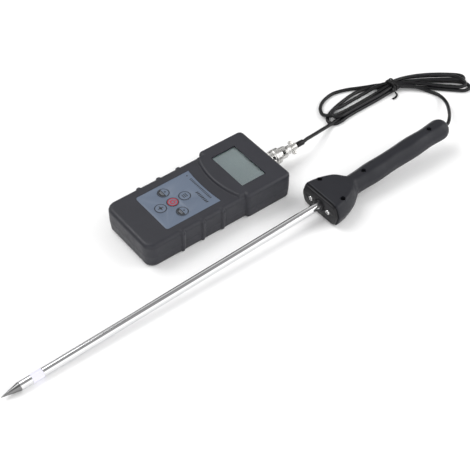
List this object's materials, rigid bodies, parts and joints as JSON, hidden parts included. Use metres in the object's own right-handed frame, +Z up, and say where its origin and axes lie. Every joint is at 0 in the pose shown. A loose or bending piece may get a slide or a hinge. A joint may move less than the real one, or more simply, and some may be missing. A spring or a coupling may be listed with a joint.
{
  "type": "soil moisture meter",
  "caption": "Hand-held soil moisture meter with display and round keys, joined by a coiled cord to a long steel probe with a guarded grip.",
  "frame": {"origin": "middle of the display unit's flat back face, which rests on the surface below", "axes": "+X along the display unit towards its connector, +Z up out of its keypad; the probe lies on the -Y side"},
  "size_m": [0.5749, 0.1476, 0.0312],
  "materials": {
    "case_plastic": "fine satin grain",
    "handle_plastic": "fine satin grain",
    "nose_plastic": "satin",
    "keypad_film": "satin film",
    "display_glass": "clear",
    "display_panel": "grey-green liquid crystal",
    "inner_plastic": "satin",
    "white_plastic": "milky",
    "steel": "polished stainless steel",
    "nickel": "nickel plated",
    "dark_steel": "blackened",
    "brass": "plain",
    "board": "solder mask",
    "cell_wrap": "plain sleeve",
    "rubber": "satin",
    "tie_plastic": "satin"
  },
  "bodies": {
    "meter_and_probe": {"back_shell": "case_plastic", "battery_cell_1": "cell_wrap", "battery_cell_2": "cell_wrap", "battery_cell_3": "cell_wrap", "battery_cell_4": "cell_wrap", "case_screw_1": "dark_steel", "case_screw_2": "dark_steel", "case_screw_3": "dark_steel", "case_screw_4": "dark_steel", "clamp_saddle": "nickel", "clamp_screw_1": "dark_steel", "clamp_screw_2": "dark_steel", "contact_strip_lower": "rubber", "contact_strip_upper": "rubber", "cord_bush": "rubber", "cord_hank": "rubber", "cord_meter_lead": "rubber", "cord_probe_lead": "rubber", "cord_sleeve": "rubber", "cord_tie": "tie_plastic", "core_rod": "brass", "core_sleeve": "white_plastic", "display_frame": "inner_plastic", "display_panel": "display_panel", "display_window": "display_glass", "dome_sheet": "white_plastic", "flat_contact": "steel", "front_shell": "case_plastic", "handle_bottom_shell": "handle_plastic", "handle_screw_1": "dark_steel", "handle_screw_2": "dark_steel", "handle_screw_3": "dark_steel", "handle_screw_4": "dark_steel", "handle_top_shell": "handle_plastic", "insulator_ring": "white_plastic", "keypad_overlay": "keypad_film", "keypad_spacer": "inner_plastic", "main_board": "board", "nose_plate": "nose_plastic", "nose_screw_1": "steel", "nose_screw_2": "steel", "panel_socket": "nickel", "plug_insert": "inner_plastic", "plug_shell": "nickel", "probe_point": "steel", "probe_tube": "steel", "processor_chip": "inner_plastic", "ring_clip": "steel", "rod_flange": "brass", "sensor_board": "board", "socket_insert": "inner_plastic", "socket_nut": "nickel", "spring_contact": "steel"},
    "key_power": {"key_power": "keypad_film"},
    "key_up": {"key_up": "keypad_film"},
    "key_down": {"key_down": "keypad_film"},
    "key_left": {"key_left": "keypad_film"},
    "key_right": {"key_right": "keypad_film"},
    "battery_door": {"battery_door": "case_plastic"},
    "coupling_ring": {"coupling_ring": "nickel"}
  },
  "joints": [
    {"name": "key_power_press", "type": "slide", "parent": "meter_and_probe", "child": "key_power", "axis": [0, 0, -1], "range_m": [0, 0.00035], "stiffness_N_per_m": 3000},
    {"name": "key_up_press", "type": "slide", "parent": "meter_and_probe", "child": "key_up", "axis": [0, 0, -1], "range_m": [0, 0.00035], "stiffness_N_per_m": 3000},
    {"name": "key_down_press", "type": "slide", "parent": "meter_and_probe", "child": "key_down", "axis": [0, 0, -1], "range_m": [0, 0.00035], "stiffness_N_per_m": 3000},
    {"name": "key_left_press", "type": "slide", "parent": "meter_and_probe", "child": "key_left", "axis": [0, 0, -1], "range_m": [0, 0.00035], "stiffness_N_per_m": 3000},
    {"name": "key_right_press", "type": "slide", "parent": "meter_and_probe", "child": "key_right", "axis": [0, 0, -1], "range_m": [0, 0.00035], "stiffness_N_per_m": 3000},
    {"name": "battery_door_slide", "type": "slide", "parent": "meter_and_probe", "child": "battery_door", "axis": [-1, 0, 0], "range_m": [0, 0.064]},
    {"name": "coupling_ring_turn", "type": "hinge", "parent": "meter_and_probe", "child": "coupling_ring", "pos_m": [0.0885, 0, 0.01425], "axis": [1, 0, 0], "continuous": true}
  ]
}
